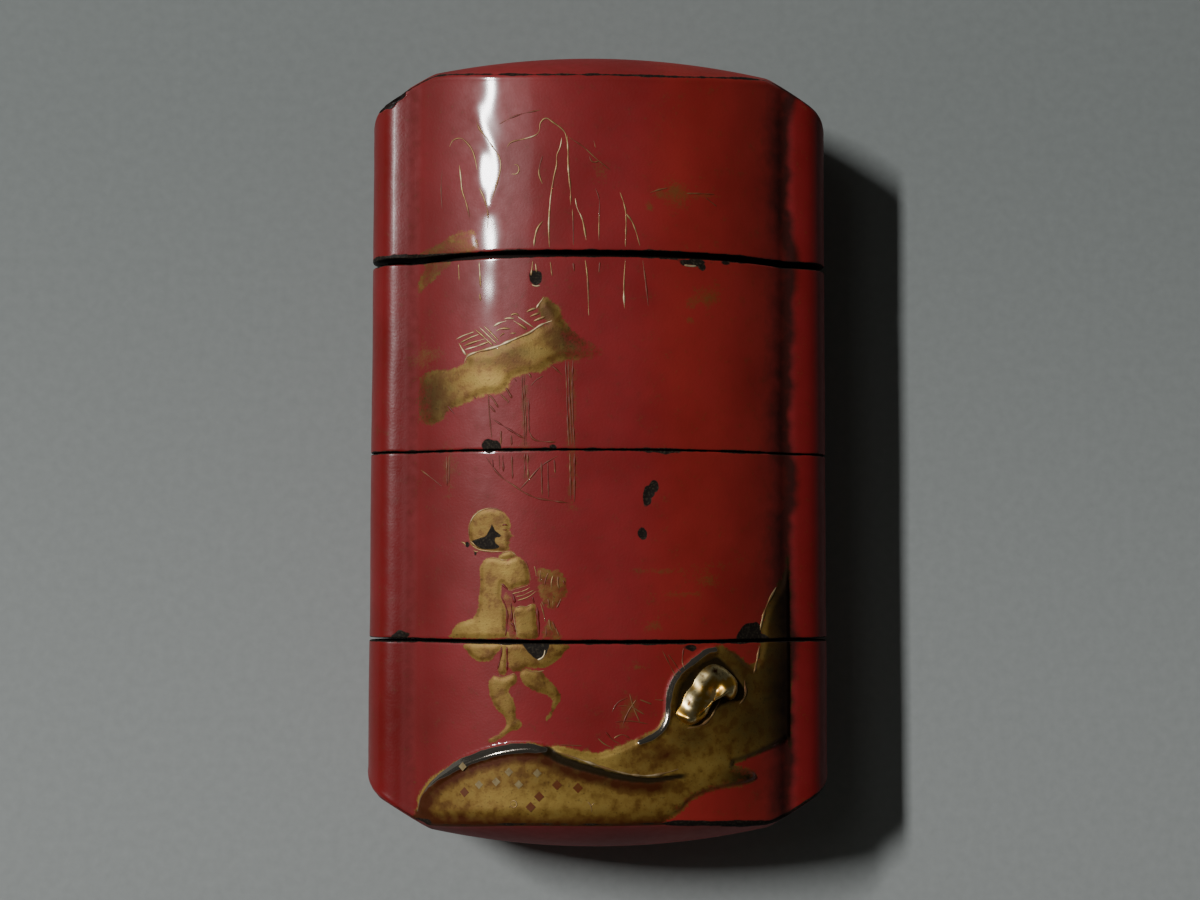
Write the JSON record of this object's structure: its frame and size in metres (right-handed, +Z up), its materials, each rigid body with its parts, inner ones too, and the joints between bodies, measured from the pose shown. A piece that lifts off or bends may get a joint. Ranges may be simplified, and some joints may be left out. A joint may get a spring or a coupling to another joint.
{
  "type": "inro case",
  "caption": "Small flat lacquered case of stacked boxes under a lid, with a cord channel down each side and a raised gold landscape on the front.",
  "frame": {"origin": "centre of the case's footprint, on the surface that its back lies on", "axes": "X across the case over both cord runners, +Y towards the lid, +Z up through the decorated front"},
  "size_m": [0.052, 0.0896, 0.0225],
  "materials": {
    "red_lacquer": "polished red lacquer over wood, with gold and silver sprinkled pictures and black wear at the edges",
    "gold_inlay": "polished pale gold metal"
  },
  "bodies": {
    "root": {"lower_case": "red_lacquer", "middle_case": "red_lacquer", "upper_case": "red_lacquer", "lid": "red_lacquer", "pebble_inlay": "gold_inlay"}
  },
  "joints": []
}
